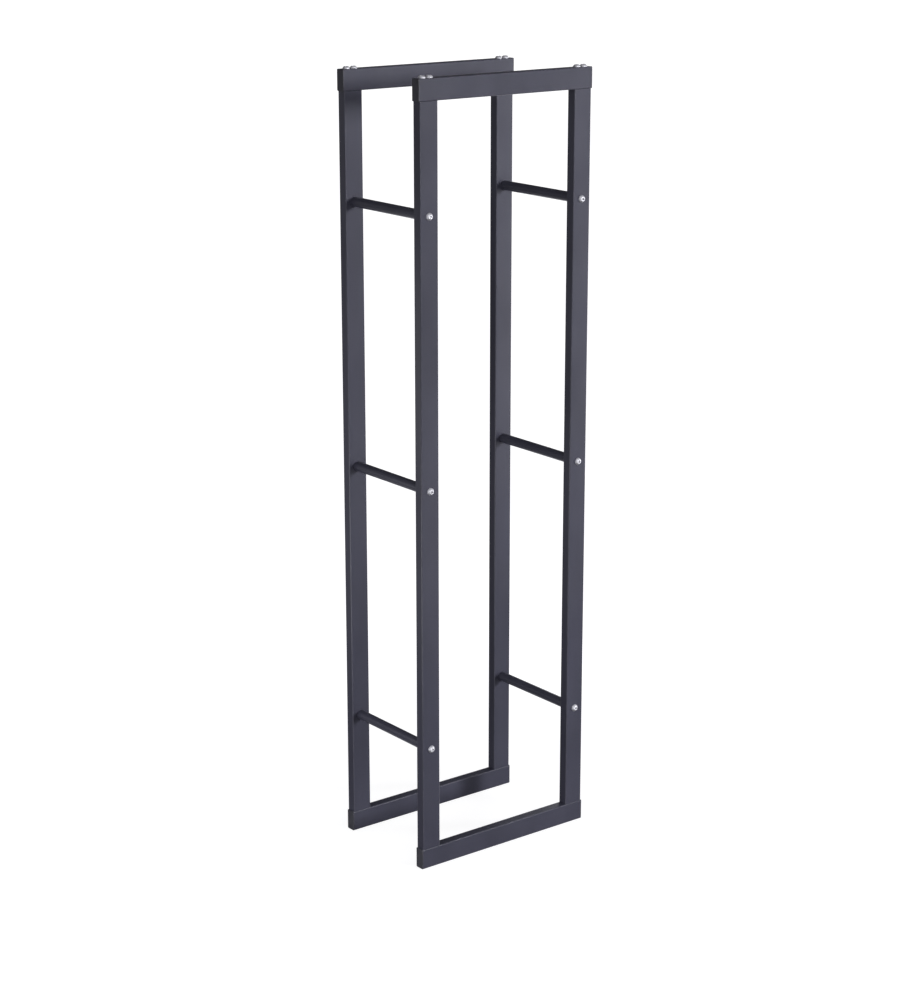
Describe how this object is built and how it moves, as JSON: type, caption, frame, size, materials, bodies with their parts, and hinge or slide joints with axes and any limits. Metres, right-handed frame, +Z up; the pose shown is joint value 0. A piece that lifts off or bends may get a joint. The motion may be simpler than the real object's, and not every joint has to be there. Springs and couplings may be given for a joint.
{
  "type": "firewood log rack",
  "caption": "Tall slim free-standing rack: two rectangular tube frames joined by round side bars, open at front, back and top, for stacking firewood logs.",
  "frame": {"origin": "middle of the footprint, on the surface that the rack stands on", "axes": "+X along the 400 mm width, +Y from the front frame to the back frame, +Z up"},
  "size_m": [0.4, 0.2588, 1.5044],
  "materials": {
    "powder_coat": "satin anthracite powder coat on steel tube",
    "cap_plastic": "anthracite moulded end cap",
    "zinc_screw": "bright zinc plated",
    "bare_steel": "plain machined steel, hidden inside the tubes"
  },
  "bodies": {
    "root": {"back_bar_screws": "zinc_screw", "back_bottom_corner_screws": "zinc_screw", "back_bottom_rail": "powder_coat", "back_left_bottom_cap": "cap_plastic", "back_left_bottom_nut_block": "bare_steel", "back_left_top_cap": "cap_plastic", "back_left_top_nut_block": "bare_steel", "back_left_upright": "powder_coat", "back_right_bottom_cap": "cap_plastic", "back_right_bottom_nut_block": "bare_steel", "back_right_top_cap": "cap_plastic", "back_right_top_nut_block": "bare_steel", "back_right_upright": "powder_coat", "back_top_corner_screws": "zinc_screw", "back_top_rail": "powder_coat", "front_bar_screws": "zinc_screw", "front_bottom_corner_screws": "zinc_screw", "front_bottom_rail": "powder_coat", "front_left_bottom_cap": "cap_plastic", "front_left_bottom_nut_block": "bare_steel", "front_left_top_cap": "cap_plastic", "front_left_top_nut_block": "bare_steel", "front_left_upright": "powder_coat", "front_right_bottom_cap": "cap_plastic", "front_right_bottom_nut_block": "bare_steel", "front_right_top_cap": "cap_plastic", "front_right_top_nut_block": "bare_steel", "front_right_upright": "powder_coat", "front_top_corner_screws": "zinc_screw", "front_top_rail": "powder_coat", "left_lower_bar": "powder_coat", "left_lower_bar_back_insert": "bare_steel", "left_lower_bar_front_insert": "bare_steel", "left_middle_bar": "powder_coat", "left_middle_bar_back_insert": "bare_steel", "left_middle_bar_front_insert": "bare_steel", "left_upper_bar": "powder_coat", "left_upper_bar_back_insert": "bare_steel", "left_upper_bar_front_insert": "bare_steel", "right_lower_bar": "powder_coat", "right_lower_bar_back_insert": "bare_steel", "right_lower_bar_front_insert": "bare_steel", "right_middle_bar": "powder_coat", "right_middle_bar_back_insert": "bare_steel", "right_middle_bar_front_insert": "bare_steel", "right_upper_bar": "powder_coat", "right_upper_bar_back_insert": "bare_steel", "right_upper_bar_front_insert": "bare_steel"}
  },
  "joints": []
}
